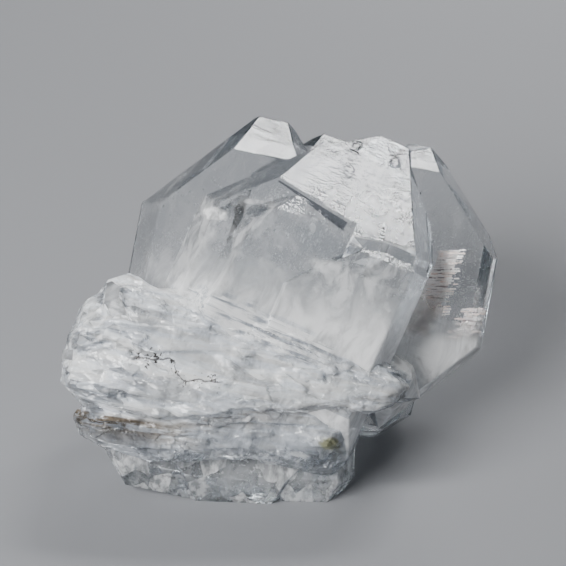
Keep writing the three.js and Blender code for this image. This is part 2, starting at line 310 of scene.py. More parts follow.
def haze_near_root(place, above, wisps):
    """Haze that rises from the root into the crystals, higher at the front than at the back."""
    x, u, w = place.parts()
    reach = w.eased(-4.0, 3.0, 1.0, 4.5).over(x.eased(14.0, 20.0, 0.0, 6.5))
    near = (above - reach).eased(-6.0, 6.0, 0.85, 0.0) * wisps.eased(0.32, 0.6, 0.55, 1.0)
    near = near * w.eased(-9.0, -5.0, 0.1, 1.0) * u.eased(*FEET, 0.0, 1.0)
    right = x.eased(19.0, 22.5, 1.0, 0.35).over(u.eased(-5.0, -2.0, 1.0, 0.0))
    return near * right * x.eased(-21.0, -16.0, 0.35, 1.0)


def haze_in_front(place, edge):
    """Milky patches with clear windows between them, behind the main crystals' front faces."""
    x, u, w = place.parts()
    fans = place.stretched((1.0, 0.6, 1.0), CRYSTAL_LEAN).clouds(0.5, 4.0, 0.6, 0.6)
    front = w.eased(*SEEN_FRONT) * x.eased(19.0, 21.0, 1.0, 0.0) * u.eased(15.0, 19.0, 1.0, 0.25)
    milk = strongest(place, edge, MILKY_PATCHES).over(front * 0.16) * front
    milk = milk * fans.eased(0.36, 0.62, 0.35, 1.15)
    return milk * strongest(place, edge, CLEAR_WINDOWS).flipped()


def glassy_feet(place):
    """Frosted and clear panes side by side in the feet, with a few milky flecks."""
    u = place.parts()[1]
    warped = place.stretched((1.0, 0.4, 1.0), 0.25).vectors("ADD", place.clouds(0.3, 2.0) * 1.5)
    frost = place.stretched((1.2, 0.5, 1.2)).clouds(0.8, 3.0, 0.6).eased(0.38, 0.62, 0.3, 1.2)
    panes = warped.chips(FOOT_PANES)[1].eased(0.3, 0.8, 0.03, 0.5) * frost
    flecks = place.clouds(2.0, 3.0, 0.6).eased(0.6, 0.68, 0.0, 0.35)
    return panes.over(flecks) * u.eased(*FEET, 1.0, 0.0)


def haze(place, edge, above):
    """How milky the clear quartz looks from outside."""
    wisps = place.stretched((1.0, 0.45, 1.0), CRYSTAL_LEAN).clouds(0.35, 4.0, 0.6, 0.8)
    milk = haze_near_root(place, above, wisps).over(haze_in_front(place, edge))
    return milk + wisps.eased(0.48, 0.78, 0.0, 0.14) + glassy_feet(place)


def root_milk(place, grain, ledge, silky, calm, own):
    """How milky the root is: dense above its main ledge, glassy in patches, most of all under it."""
    x = place.parts()[0]
    dense = ledge.eased(*LEDGE_FADE, 0.3, 0.72) - x.eased(6.0, 16.0, 0.0, 0.15)
    uneven = grain.eased(0.38, 0.62, -0.32, 0.25) + own.eased(0.15, 0.85, -0.3, 0.14)
    return (dense + uneven * calm.flipped() + silky).eased(0.0, 1.0, 0.1, 0.92)


def clay_share(place, ledge):
    """Clay in thin layers under the ledge and along its edge, most of it at the left."""
    x = place.parts()[0]
    layers = place.stretched(LAYER_STRETCH, GRAIN_LEAN * 0.5).clouds(0.9, 4.0, 0.6).eased(0.4, 0.54)
    under = ledge.eased(-4.4, -0.6) * ledge.eased(-0.2, 0.5, 1.0, 0.0) * x.eased(-21.0, -9.0, 1.0, 0.3)
    along = ledge.maths("ABSOLUTE").eased(0.1, 0.45, 0.55, 0.0) * x.eased(-4.0, 4.0, 1.0, 0.0)
    return layers * under.over(along)


def speck_share(place, soft):
    """Dark specks strewn along a fine crack that steps down the root's left front."""
    x, u, _ = place.parts()
    (left, high), (right, low) = SPECK_LINE
    off_line = (u - x.eased(left, right, high, low) + (soft - 0.5) * 1.8).maths("ABSOLUTE")
    reach = x.eased(-22.0, -19.5) * x.eased(-9.0, -7.0, 1.0, 0.0)
    strewn = (place.clouds(1.5, 4.0, 0.7) - off_line * 0.07).eased(0.52, 0.57)
    return strewn.over(off_line.eased(0.05, 0.2, 0.8, 0.0)) * reach * 0.92


def root_colour(place, grain, ledge, fibres, silky, calm, edge):
    """White to grey along the grain, silky lines, clay under the ledge, dark specks and a mossy spot."""
    soft = place.clouds(0.5)
    body = place.stretched(FIBRE_STRETCH, GRAIN_LEAN).clouds(0.8).eased(0.4, 0.6).tinted(MILK, CREAM)
    body = (grain.eased(0.42, 0.62, 0.4, 0.0) * calm.flipped()).tinted(body, GREY)
    body = (ledge.eased(*LEDGE_FADE, 0.6, 0.0) * soft.eased(0.35, 0.6, 0.3, 1.0)).tinted(body, GREY)
    body = silky.tinted(body, fibres.eased(0.38, 0.52).tinted(GREY, SILK))
    body = clay_share(place, ledge).tinted(body, CLAY)
    body = speck_share(place, soft).tinted(body, SPECK)
    return (place.patch(edge, *MOSSY_SPOT) * 0.85).tinted(body, MOSS)


def painted_step_shade(place):
    """Where shade is painted: 1 on the narrow, steep step that runs along the foot of the main crystal's top
    face, else 0.
    """
    start, end = (Vector(point) for point in STEP_ENDS)
    run = end - start
    x, u, w = place.parts()
    across, up = x - start.x, u - start.y
    along = (across * run.x + up * run.y) * (1 / run.length_squared)
    below = (across * run.y - up * run.x) * (1 / run.length)
    width = along.eased(0.0, 1.0, *STEP_WIDTH)
    shown = below.eased(0.0, 0.08) * (width - below).eased(0.0, 0.08) * along.eased(-0.02, 0.0)
    return shown * along.eased(0.97, 1.0, 1.0, 0.0) * w.eased(1.0, 2.0)


def growth_swirl(place, middle, wander):
    """Wandering rings round a point of a crystal face, from 0 to 1. They fade out with distance."""
    x, u, _ = place.parts()
    squared = (x - middle[0]).maths("POWER", 2.0) + (u - middle[1]).maths("POWER", 2.0)
    distance = squared.maths("SQRT") + wander * 1.6
    rings = (distance * SWIRL_RINGS).maths("SINE") * 0.5 + 0.5
    return rings * distance.eased(0.8, 3.2, 1.0, 0.0)


def quartz_relief(place, above, broken, fibres, along, chip_height):
    """Striations, etching and swirls on the crystal faces, and chips and silky lines on the root.

    The zones are taken without their ragged edges here, because a bump reads its height three times.
    """
    striae = place.stretched(PRISM_STRETCH, CRYSTAL_LEAN).clouds(0.55, 3.0, 0.6)
    etched = place.clouds(0.5, 2.0, 0.5)
    swirls = growth_swirl(place, SWIRLS[0], etched)
    for middle in SWIRLS[1:]:
        swirls = swirls + growth_swirl(place, middle, etched)
    faces = bumped(place, striae * 0.5 + etched * 0.5 + swirls * 0.6, GROWTH_RELIEF * MM)
    combed = place.patch(0.0, *SILKY_ZONE)
    chipped = combed.over(place.patch(0.0, *CALM_ZONE)).flipped() * broken * above.eased(-4.0, 0.5, 1.0, 0.3)
    height = (chip_height + along.chips(FINE_CHIPS)[0] * 0.8) * chipped
    height = height + fibres * combed * broken.eased(0.0, 1.0, 0.5, 1.1)
    return bumped(place, height, CHIP_RELIEF * MM, faces)


def quartz_material(sizes):
    material, shader, place = new_material("quartz")
    tree = material.node_tree
    above, ledge = above_root(place), above_ledge(place)
    broken = place.through("ShaderNodeAttribute", out="Fac", attribute_name="broken")
    edge = (place.clouds(0.5, 4.0, 0.6) - 0.5) * RAGGED
    grain = place.stretched(FIBRE_STRETCH, GRAIN_LEAN).clouds(0.3, 4.0, 0.6, 0.5)
    fibres = place.stretched(SILK_STRETCH, 2 * GRAIN_LEAN).clouds(0.9, 3.0, 0.6)
    silky = place.patch(edge, *SILKY_ZONE)
    calm = place.patch(edge, *CALM_ZONE) * 0.75
    along = place.stretched(CHIP_STRETCH, GRAIN_LEAN)
    chip_height, own = along.chips(COARSE_CHIPS)

    lines = fibres.eased(0.42, 0.58, -0.45, 0.25) * silky
    shining = silky * fibres.eased(0.4, 0.6, 0.55, 0.95) * place.parts()[2].eased(0.0, 2.0)
    milk = (root_milk(place, grain, ledge, lines, calm, own) * broken).over(haze(place, edge, above))
    feed((milk.over(shining) * sizes.milkiness).flipped(), shader.inputs["Transmission Weight"])

    # Painted shade: the clear quartz's base colour is darkened on the narrow step, standing in for the dark
    # that this steep facet shows.
    clear = painted_step_shade(place).tinted(CLEAR, PAINTED_SHADE)
    colour = root_colour(place, grain, ledge, fibres, silky, calm, edge)
    feed(broken.over(silky).tinted(clear, colour), shader.inputs["Base Color"])
    worn = place.clouds(1.3).eased(0.45, 0.75, 0.02, 0.09)
    frosted = place.clouds(0.9, 3.0, 0.6).eased(0.35, 0.65, 0.03, 0.17)
    feed(worn.over(broken * frosted), shader.inputs["Roughness"])
    feed(quartz_relief(place, above, broken, fibres, along, chip_height), shader.inputs["Normal"])

    shader.inputs["IOR"].default_value = QUARTZ_IOR
    shader.inputs["Subsurface Weight"].default_value = SUBSURFACE
    shader.inputs["Subsurface Radius"].default_value = (1.0, 1.0, 1.0)
    shader.inputs["Subsurface Scale"].default_value = sizes.glow_depth
    absorption = tree.nodes.new("ShaderNodeVolumeAbsorption")
    absorption.inputs["Color"].default_value = QUARTZ_TINT
    absorption.inputs["Density"].default_value = sizes.absorption
    tree.links.new(absorption.outputs[0], tree.nodes["Material Output"].inputs["Volume"])
    return material


# ---- the body's surface

MERGE = 2e-6  # metres within which corners of the loose triangles are one
FLAT_ANGLE = math.radians(0.4)  # triangles that meet at less than this lie in one plane
FACE_AREA = 4.5 * MM * MM  # the smallest crystal face; broken facets are smaller
STRIP_SHARE = 0.6  # a strip with this much of its edge on crystal faces belongs to them
STRIP_ROUNDS = 2
REFINING = 4  # rounds of division; each halves the edges that are still long
SOFTENING = 4  # rounds of smoothing on the root before it is broken up again
FADE = (0.0, 0.35, 0.75)  # how much of the breaking shows 0, 1 and 2 steps from a crystal face
TILT_SEED = 7  # of the chips' tilts

# Chips of the broken root in millimetres: their size along the grain, u and w, their step, and their slope.
COARSE_BREAK = ((4.4, 2.2, 3.0), 0.2, 0.55)
FINE_BREAK = ((1.7, 1.0, 1.2), 0.08, 0.26)
FINE_SHIFT = Vector((9, 4, 2))  # keeps the fine chips out of step with the coarse ones
TILT_SPREAD = 7.3  # how far apart the noise for two chips is read, over their distance
STEP_SPREAD = 3.1
ROWS = 0.85  # silky rows to a millimetre
ROW_WANDER = 0.7
ROW_HEIGHT = 0.6
SILKY_MIDDLE = (-2.0, -3.0)  # of the silky rows, along and across them
SILKY_REACH = (18.0, 4.0)
SMOOTH_MIDDLE = (-11.0, -6.2)  # of the root's smooth front, across and up
SMOOTH_REACH = (9.0, 4.6)


def merged_body():
    body = bmesh.new()
    body.from_mesh(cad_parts[NODE].data)
    bmesh.ops.remove_doubles(body, verts=body.verts, dist=MERGE)
    body.normal_update()
    return body


def flat_areas(body):
    """The body's faces, in groups that lie in one plane."""
    grouped = set()
    areas = []
    for start in body.faces:
        if start in grouped:
            continue
        grouped.add(start)
        area = [start]
        for face in area:
            for edge in face.edges:
                for other in edge.link_faces:
                    if other not in grouped and face.normal.angle(other.normal, math.pi) < FLAT_ANGLE:
                        grouped.add(other)
                        area.append(other)
        areas.append(area)
    return areas


def share_on_crystal(area, crystal):
    """How much of an area's outline runs along faces that are marked already."""
    own = set(area)
    outline = 0.0
    shared = 0.0
    for face in area:
        for edge in face.edges:
            for other in edge.link_faces:
                if other in own:
                    continue
                length = edge.calc_length()
                outline += length
                shared += length if other in crystal else 0.0
    return shared / outline if outline else 0.0


def crystal_faces(body):
    """The flat crystal faces with the worn strips between them. The rest is the broken root."""
    areas = flat_areas(body)
    crystal = set()
    for area in areas:
        if sum(face.calc_area() for face in area) > FACE_AREA:
            crystal.update(area)
    for _ in range(STRIP_ROUNDS):
        strips = [a for a in areas if a[0] not in crystal and share_on_crystal(a, crystal) > STRIP_SHARE]
        crystal.update(face for area in strips for face in area)
    return crystal


def halved(corners, triangles, longest):
    """Halves the long edges of the broken triangles and cuts the triangles through the new corners.

    A triangle is its three corners' numbers and its broken share. The surface stays closed.
    """
    middles = {}
    for *ring, broken in triangles:
        for pair in zip(ring, ring[1:] + ring[:1]):
            a, b = sorted(pair)
            if broken and (a, b) not in middles and (corners[a] - corners[b]).length > longest:
                middles[a, b] = len(corners)
                corners.append((corners[a] + corners[b]) / 2)
    cut = []
    for a, b, c, broken in triangles:
        for _ in range(3):
            ab, bc, ca = (middles.get(tuple(sorted(pair))) for pair in ((a, b), (b, c), (c, a)))
            if ca is not None and (ab is None or bc is not None):
                break
            a, b, c = b, c, a
        if ca is None:
            parts = [(a, b, c)]
        elif ab is not None:
            parts = [(a, ab, ca), (ab, b, bc), (ca, bc, c), (ab, bc, ca)]
        elif bc is None:
            parts = [(a, b, ca), (ca, b, c)]
        elif (corners[a] - corners[bc]).length < (corners[b] - corners[ca]).length:
            parts = [(ca, bc, c), (a, b, bc), (a, bc, ca)]
        else:
            parts = [(ca, bc, c), (a, b, ca), (b, bc, ca)]
        cut += [(*part, broken) for part in parts]
    return cut


def refined(body, crystal, longest):
    """The body with short edges on its broken faces, and each face's broken share as a layer."""
    body.verts.index_update()
    corners = [vert.co.copy() for vert in body.verts]
    triangles = []
    for face in body.faces:
        triangles.append((*(vert.index for vert in face.verts), 0.0 if face in crystal else 1.0))
    body.free()
    for _ in range(REFINING):
        triangles = halved(corners, triangles, longest)
    fine = bmesh.new()
    layer = fine.faces.layers.float.new("broken")
    verts = [fine.verts.new(corner) for corner in corners]
    for a, b, c, broken in triangles:
        fine.faces.new((verts[a], verts[b], verts[c]))[layer] = broken
    fine.normal_update()
    return fine, layer


def breaking_shares(body, broken):
    """How far each corner takes part in the breaking: none on crystal faces, all of it away from them."""
    steps = {vert: 0 for vert in body.verts if not all(face[broken] for face in vert.link_faces)}
    edge = list(steps)
    for step in range(1, len(FADE)):
        around = {link.other_vert(vert) for vert in edge for link in vert.link_edges}
        edge = [vert for vert in around if vert not in steps]
        steps.update(dict.fromkeys(edge, step))
    return {vert: FADE[steps[vert]] if vert in steps else 1.0 for vert in body.verts}


def soften(shares):
    """Rounds the root off, so that the breaking starts from a smooth form."""
    for _ in range(SOFTENING):
        moved = {
            vert: sum((link.other_vert(vert).co for link in vert.link_edges), Vector()) / len(vert.link_edges)
            for vert, share in shares.items()
            if share
        }
        for vert, middle in moved.items():
            vert.co = vert.co.lerp(middle, 0.5 * shares[vert])


def cleaved(place, size, step, slope):
    """Height of a surface that is split into tilted cells, each of one size along the grain, u and w."""
    spot = Vector((place.x / size[0], place.y / size[1], place.z / size[2]))
    cell = noise.voronoi(spot)[1][0]
    tilt = noise.noise_vector(cell * TILT_SPREAD)
    return step * noise.noise(cell * STEP_SPREAD) + slope * (spot - cell).dot(tilt)


def broken_height(place):
    """How far the root stands out at a place, in millimetres: cleaved chips, fibres and pits."""
    along = Matrix.Rotation(GRAIN_LEAN, 3, "Z") @ place
    height = cleaved(along, *COARSE_BREAK) + cleaved(along + FINE_SHIFT, *FINE_BREAK)
    steep = Matrix.Rotation(2 * GRAIN_LEAN, 3, "Z") @ place
    rows = steep.y * ROWS + ROW_WANDER * noise.noise(steep * 0.12)
    silky = max(0.0, 1.0 - abs(steep.y - SILKY_MIDDLE[1]) / SILKY_REACH[1])
    silky *= max(0.0, 1.0 - abs(steep.x - SILKY_MIDDLE[0]) / SILKY_REACH[0])
    off_x, off_u = ((place[i] - SMOOTH_MIDDLE[i]) / SMOOTH_REACH[i] for i in (0, 1))
    smooth = max(0.0, 1.0 - math.hypot(off_x, off_u))
    height *= (1.0 - 0.8 * silky) * (1.0 - 0.9 * smooth)
    height += ROW_HEIGHT * silky * (rows - math.floor(rows) - 0.5)
    calm = 0.5 + 0.5 * noise.noise(Vector((place.x * 0.13, place.y * 0.2, place.z * 0.13)))
    return height * (0.25 + 0.95 * calm)


def break_up(body, shares, depth):
    """Moves the root's corners in and out, and keeps them inside the CAD box."""
    noise.seed_set(TILT_SEED)
    body.normal_update()
    low, high = (Vector(corner) for corner in CAD_BOX)
    for vert, share in shares.items():
        if not share:
            continue
        place = FROM_FRAME @ vert.co
        vert.co += vert.normal * (share * depth * MM * broken_height(place))
        for axis in range(3):
            vert.co[axis] = min(max(vert.co[axis], low[axis]), high[axis])


def finished_object(name, body, material):
    mesh = bpy.data.meshes.new(name)
    body.to_mesh(mesh)
    body.free()
    mesh.materials.append(material)
    piece = bpy.data.objects.new(name, mesh)
    bpy.context.collection.objects.link(piece)
    return piece


def quartz_piece(sizes):
    rough = merged_body()
    body, broken = refined(rough, crystal_faces(rough), sizes.facet * (1))
    shares = breaking_shares(body, broken)
    soften(shares)
    break_up(body, shares, sizes.breaking)
    return finished_object("quartz", body, quartz_material(sizes))


# ---- veils inside the quartz

VEIL_GRID = 30  # corners along each side of a veil's sheet
VEIL_BEND = 7.0  # millimetres between the highest and the lowest that a sheet may bend
BEND_CLOUDS = 110.0  # noise cells to a metre, for the bends and for where a veil thins out
WISP_CLOUDS = 260.0
WISP_STRETCH = (1.0, 0.6, 1.0)
EDGE_KEPT = 0.45  # share of a sheet from its middle before it thins out
FLAKE_STRETCH = (1.0, 1.0, 0.22)
FLAKE_TILT = 0.5  # radians that a flake may lean off its sheet
FLAKE_GROWTH = (0.55, 1.25)  # squared, a flake's size over the given one
UNDER_SURFACE = 0.35 * MM  # flakes keep this far inside the quartz
WISP_FLAKE = 0.8  # size of the wisps' flakes over those in the clouds
CLOUD_SEED = 100  # of the first sheet in each list; each next one takes the next number
WISP_SEED = 300
STREAK_SEED = 700
STREAK_SHAPE = (2.0, 0.5, 0.12)  # a streak's length, height and thickness over its given size
STREAK_SHAKE = (0.0003, 0.00008, 0.0003)  # metres that a streak may be off its place in the row
STREAK_GROWTH = (0.7, 1.4)
ROW_BREAKS = (120.0, 2400.0, 1.0)  # noise cells to a metre along and across the rows, which break off by it
PEARL = 0.15  # how much of a healed crack shines like a mirror
CRACK_THICKNESS = 0.06  # millimetres

# Colours that a material goes between.
VEIL_COLOURS = ((0.9, 0.93, 0.97), (1.0, 1.0, 1.0))
STREAK_COLOURS = ((1.0, 0.97, 0.95), (0.93, 0.78, 0.72))
HEALED_COLOURS = ((0.36, 0.3, 0.29), (1.0, 0.95, 0.93))

# Healed cracks and clouds of tiny cavities. Each lies on a bent sheet: at is its middle, size its width
# and height, turn tips it to the right, tilt lays its top back and swing turns its right side back.
# keep is the share of flakes left in it, and low is how much denser it is at its foot. What isn't given is 0.
CLOUDS = [
    dict(at=(-1, 3.5, 4.6), size=(27, 14), turn=14, tilt=6, keep=0.62, low=1.0),
    dict(at=(0, 5.5, 1.0), size=(28, 19), turn=18, tilt=-8, swing=6, keep=0.5, low=1.0),
    dict(at=(2, 6.5, -4.0), size=(30, 22), turn=20, tilt=10, swing=-5, keep=0.4, low=0.9),
    dict(at=(13, -1, 5.6), size=(15, 15), turn=24, tilt=4, swing=4, keep=0.62, low=0.7),
    dict(at=(12, 0.5, 2.4), size=(17, 18), turn=22, tilt=-6, swing=-8, keep=0.5, low=0.7),
    dict(at=(22, -1.5, -5.2), size=(16, 12), turn=12, keep=0.5, low=0.9),
    dict(at=(-3.4, 12.2, 2.6), size=(3.4, 14), turn=45, tilt=4, swing=30, keep=0.75, low=0.1),
    dict(at=(1.5, 12.0, -1.0), size=(20, 7), turn=22, tilt=24, keep=0.34, low=0.3),
    dict(at=(11, 17.5, 2.0), size=(18, 12), turn=24, tilt=-30, keep=0.2, low=0.1),
]
WISPS = [
    dict(at=(-15.5, 6.5, -5.4), size=(15, 15), turn=11, tilt=4, keep=0.32, low=0.8),
    dict(at=(-13.5, 12, -7.6), size=(18, 22), turn=11, tilt=-5, swing=6, keep=0.14, low=0.4),
    dict(at=(-8.5, 17.6, -4.8), size=(1.2, 5.5), turn=-30, swing=60, keep=0.5),
    dict(at=(23.5, 8, -6.6), size=(14, 20), turn=10, tilt=4, keep=0.16, low=0.6),
    dict(at=(27.4, 4, -5.2), size=(4.5, 17), turn=8, swing=24, keep=0.4, low=0.5),
    dict(at=(-17, -19.6, -1.6), size=(9, 6), turn=10, tilt=6, keep=0.3),
    dict(at=(-3, -20.6, -1.6), size=(16, 6), turn=4, tilt=-6, keep=0.34),
    dict(at=(6, -21.4, -2.4), size=(9, 5), tilt=4, keep=0.3),
    dict(at=(15, -11.5, -8.6), size=(9, 9), turn=14, tilt=-12, keep=0.2),
]

# Level streaks, and the planes behind them where the thin plate on the right was cracked and healed.
# They are turned so that they mirror the key light. Corners are given round the middle, across and up.
MIRRORING = dict(tilt=4, swing=-11)
STREAKS = [
    dict(at=(23.6, 3.9, -3.9), size=(3.0, 9.2), **MIRRORING, rows=26, columns=6, slant=0.26, keep=1.0),
    dict(at=(20.6, -0.9, -3.8), size=(4.0, 5.6), **MIRRORING, rows=17, columns=7, slant=0.5, keep=0.95),
    dict(at=(27.1, -1.9, -4.2), size=(3.0, 4.0), **MIRRORING, rows=12, columns=6, slant=0.5, keep=1.0),
]
LARGE_PLANE = (
    (-4.4, -5.5), (-0.9, -5.5), (0.5, -3.4), (3.0, 3.0), (3.9, 6.4), (1.0, 6.4), (0.6, 4.7), (-1.2, 2.0)
)
SMALL_PLANE = ((-1.7, -2.0), (0.4, -2.1), (1.5, 0.4), (1.3, 2.0), (-0.2, 1.6))
HEALED_PLANES = [
    dict(at=(22.0, 2.0, -4.9), **MIRRORING, corners=LARGE_PLANE),
    dict(at=(27.1, -1.9, -4.9), **MIRRORING, corners=SMALL_PLANE),
]

# Single bright cracks.
KNEE_CRACK = ((-0.6, 0.3), (-0.1, 0.9), (0.5, 0.4), (0.4, -0.5), (0.0, -0.9))
LEFT_CRACK = ((-0.4, 0.2), (0.1, 0.5), (0.5, 0.0), (0.0, -0.5))
LONG_CRACK = ((-1.9, 0.1), (-0.6, 0.7), (1.7, 0.9), (2.1, 0.4), (0.6, -0.6))
RIGHT_CRACK = ((-0.6, -0.8), (0.1, 1.3), (0.6, 0.6), (0.5, -0.7))
CRACKS = [
    dict(at=(4.4, 11.6, 3.8), tilt=25, swing=10, corners=KNEE_CRACK),
    dict(at=(-6.3, 10.6, 4.6), tilt=10, swing=-20, corners=LEFT_CRACK),
    dict(at=(12.0, 6.6, 6.0), tilt=30, corners=LONG_CRACK),
    dict(at=(19.0, 8.4, -1.0), tilt=16, swing=20, corners=RIGHT_CRACK),
]

# Inputs of every geometry tree here, and their sockets' kinds.
SHEET_INPUTS = dict(
    **dict.fromkeys(("Width", "Height", "Keep", "Flake"), "Float"),
    Place="Vector",
    Turn="Rotation",
    Seed="Int",
    Quartz="Object",
    Material="Material",
)


def new_tree(name, **own_inputs):
    """An empty geometry tree with named inputs, these inputs as Flows, and its output's socket."""
    tree = bpy.data.node_groups.new(name, "GeometryNodeTree")
    kinds = {**SHEET_INPUTS, **own_inputs}
    for label, kind in kinds.items():
        tree.interface.new_socket(label, in_out="INPUT", socket_type="NodeSocket" + kind)
    tree.interface.new_socket("Geometry", in_out="OUTPUT", socket_type="NodeSocketGeometry")
    start = tree.nodes.new("NodeGroupInput")
    end = tree.nodes.new("NodeGroupOutput")
    return tree, {label: Flow(tree, start.outputs[label]) for label in kinds}, end.inputs["Geometry"]


def position(tree):
    return Flow(tree, tree.nodes.new("GeometryNodeInputPosition").outputs[0])


def sheet_place(place):
    """The place that a point had on its sheet before the sheet was moved."""
    return place.through("GeometryNodeInputNamedAttribute", ("Name", "sheet"), data_type="FLOAT_VECTOR")


def placed_sheet(given, columns, rows, offset):
    """A grid whose corners note their place on it, are moved by an offset and go to where the sheet lies."""
    grid = offset.through(
        "GeometryNodeMeshGrid",
        ("Size X", given["Width"]),
        ("Size Y", given["Height"]),
        ("Vertices X", columns),
        ("Vertices Y", rows),
    )
    noted = grid.through(
        "GeometryNodeStoreNamedAttribute",
        ("Geometry", grid),
        ("Name", "sheet"),
        ("Value", position(grid.tree)),
        data_type="FLOAT_VECTOR",
    )
    bent = noted.through("GeometryNodeSetPosition", ("Geometry", noted), ("Offset", offset))
    return bent.through(
        "GeometryNodeTransform",
        ("Geometry", bent),
        ("Translation", given["Place"]),
        ("Rotation", given["Turn"]),
    )


def flake(given):
    """A flat three-cornered flake."""
    size = given["Flake"]
    cone = size.through(
        "GeometryNodeMeshCone",
        ("Vertices", 3),
        ("Radius Top", 0.0),
        ("Radius Bottom", size),
        ("Depth", size),
        out="Mesh",
        fill_type="NGON",
    )
    return cone.through("GeometryNodeTransform", ("Geometry", cone), ("Scale", FLAKE_STRETCH))


def chance(given, low, high, step):
    """A random number or vector for each point, from low to high. Each draw in a tree has its own step."""
    seed = given["Seed"] + step
    kind, lowest, highest, drawn = ("FLOAT_VECTOR", 0, 1, 0) if isinstance(low, tuple) else ("FLOAT", 2, 3, 1)
    limits = ((lowest, low), (highest, high))
    return seed.through("FunctionNodeRandomValue", *limits, ("Seed", seed), out=drawn, data_type=kind)


def inside_quartz(given, place):
    """1 for a point that is well inside the quartz, else 0."""
    shape = place.through("GeometryNodeObjectInfo", ("Object", given["Quartz"]), out="Geometry")
    nearest, normal = (
        place.through(
            "GeometryNodeSampleNearestSurface",
            ("Mesh", shape),
            ("Value", value),
            ("Sample Position", place),
            data_type="FLOAT_VECTOR",
        )
        for value in (position(place.tree), place.through("GeometryNodeInputNormal"))
    )
    above = place.vectors("SUBTRACT", nearest).vectors("DOT_PRODUCT", normal, "Value")
    return above.maths("LESS_THAN", -UNDER_SURFACE)


def thinned(given, points, keep, step):
    """The points that are left when each is kept with the chance keep, which is a field on them."""
    lost = chance(given, 0.0, 1.0, step).maths("GREATER_THAN", keep)
    return points.through("GeometryNodeDeleteGeometry", ("Geometry", points), ("Selection", lost))


def finish_tree(given, points, shape, turn, scale, end):
    """Puts the shape on every point, as real geometry with its material."""
    inputs = (("Points", points), ("Instance", shape), ("Rotation", turn), ("Scale", scale))
    put = points.through("GeometryNodeInstanceOnPoints", *inputs)
    real = put.through("GeometryNodeRealizeInstances", ("Geometry", put))
    coloured = real.through("GeometryNodeSetMaterial", ("Geometry", real), ("Material", given["Material"]))
    feed(coloured, end)


def veil_tree():
    """Geometry nodes for one veil: a bent sheet of flakes, thinning out to its edges in wisps."""
    tree, given, end = new_tree("veil", Bend="Float", Density="Float", Low="Float")
    place = position(tree)
    bend = (place.clouds(BEND_CLOUDS, 3.0, 0.5) - 0.5) * given["Bend"]
    sheet = placed_sheet(given, VEIL_GRID, VEIL_GRID, bend.through("ShaderNodeCombineXYZ", ("Z", bend)))
    sowing = (("Mesh", sheet), ("Density", given["Density"]), ("Seed", given["Seed"]))
    strewn = sheet.node("GeometryNodeDistributePointsOnFaces", *sowing)
    points, upright = (Flow(tree, strewn.outputs[name]) for name in ("Points", "Rotation"))

    across, up, _ = sheet_place(place).parts()
    across = across.maths("ABSOLUTE").maths("DIVIDE", given["Width"] * 0.5)
    up = up.maths("DIVIDE", given["Height"] * 0.5)
    edge = across.over(up.maths("ABSOLUTE")).eased(EDGE_KEPT, 1.0, 1.0, 0.0)
    foot = (up.eased(-1.0, 1.0) * given["Low"]).flipped()
    wisps = place.vectors("MULTIPLY", WISP_STRETCH).clouds(WISP_CLOUDS, 6.0, 0.62, 1.2)
    keep = given["Keep"] * edge * foot * wisps.eased(0.42, 0.62, 0.04, 1.0) * inside_quartz(given, place)
    left = thinned(given, points, keep, 1)

    limit = Vector((FLAKE_TILT, FLAKE_TILT, math.pi))
    euler = chance(given, tuple(-limit), tuple(limit), 2)
    askew = euler.through("FunctionNodeEulerToRotation", ("Euler", euler))
    turn = upright.through(
        "FunctionNodeRotateRotation", ("Rotation", upright), ("Rotate By", askew), rotation_space="LOCAL"
    )
    growth = chance(given, *FLAKE_GROWTH, 3).maths("POWER", 2.0)
    finish_tree(given, left, flake(given), turn, growth, end)
    return tree


def streak_tree():
    """Geometry nodes for a patch of level streaks: rows of thin plates, broken off at chance."""
    tree, given, end = new_tree("streaks", Rows="Int", Columns="Int", Slant="Float")
    place = position(tree)
    slanted = place.through("ShaderNodeCombineXYZ", ("X", place.parts()[1] * given["Slant"]))
    shake = chance(given, tuple(-part for part in STREAK_SHAKE), STREAK_SHAKE, 4)
    sheet = placed_sheet(given, given["Columns"], given["Rows"], slanted.vectors("ADD", shake))
    rows = sheet_place(place).vectors("MULTIPLY", ROW_BREAKS).clouds(1.0, 2.0, 0.6)
    keep = rows.eased(0.36, 0.56, 0.1, 1.0) * given["Keep"] * inside_quartz(given, place)
    left = thinned(given, sheet, keep, 5)
    length = given["Flake"]
    size = length.through("ShaderNodeVectorMath", (0, STREAK_SHAPE), ("Scale", length), operation="SCALE")
    plate = size.through("GeometryNodeMeshCube", ("Size", size))
    finish_tree(given, left, plate, given["Turn"], chance(given, *STREAK_GROWTH, 6), end)
    return tree


def nodes_mesh(tree, values):
    """The plain mesh that a geometry tree makes from named values."""
    carrier = bpy.data.objects.new("carrier", bpy.data.meshes.new("carrier"))
    bpy.context.collection.objects.link(carrier)
    modifier = carrier.modifiers.new("nodes", "NODES")
    modifier.node_group = tree
    for socket in tree.interface.items_tree:
        if socket.in_out == "INPUT":
            modifier[socket.identifier] = values[socket.name]
    made = carrier.evaluated_get(bpy.context.evaluated_depsgraph_get())
    mesh = bpy.data.meshes.new_from_object(made)
    bpy.data.objects.remove(carrier)
    return mesh


def sheet_turn(sheet):
    """The turn of a sheet that starts out level: into the crystals' frame, and there by its own angles."""
    turn, tilt, swing = (math.radians(sheet.get(name, 0)) for name in ("turn", "tilt", "swing"))
    own = Matrix.Rotation(-turn, 3, "Z") @ Matrix.Rotation(-tilt, 3, "X") @ Matrix.Rotation(swing, 3, "Y")
    return (Matrix.Rotation(FACE_SLOPE, 3, "X") @ own).to_euler()


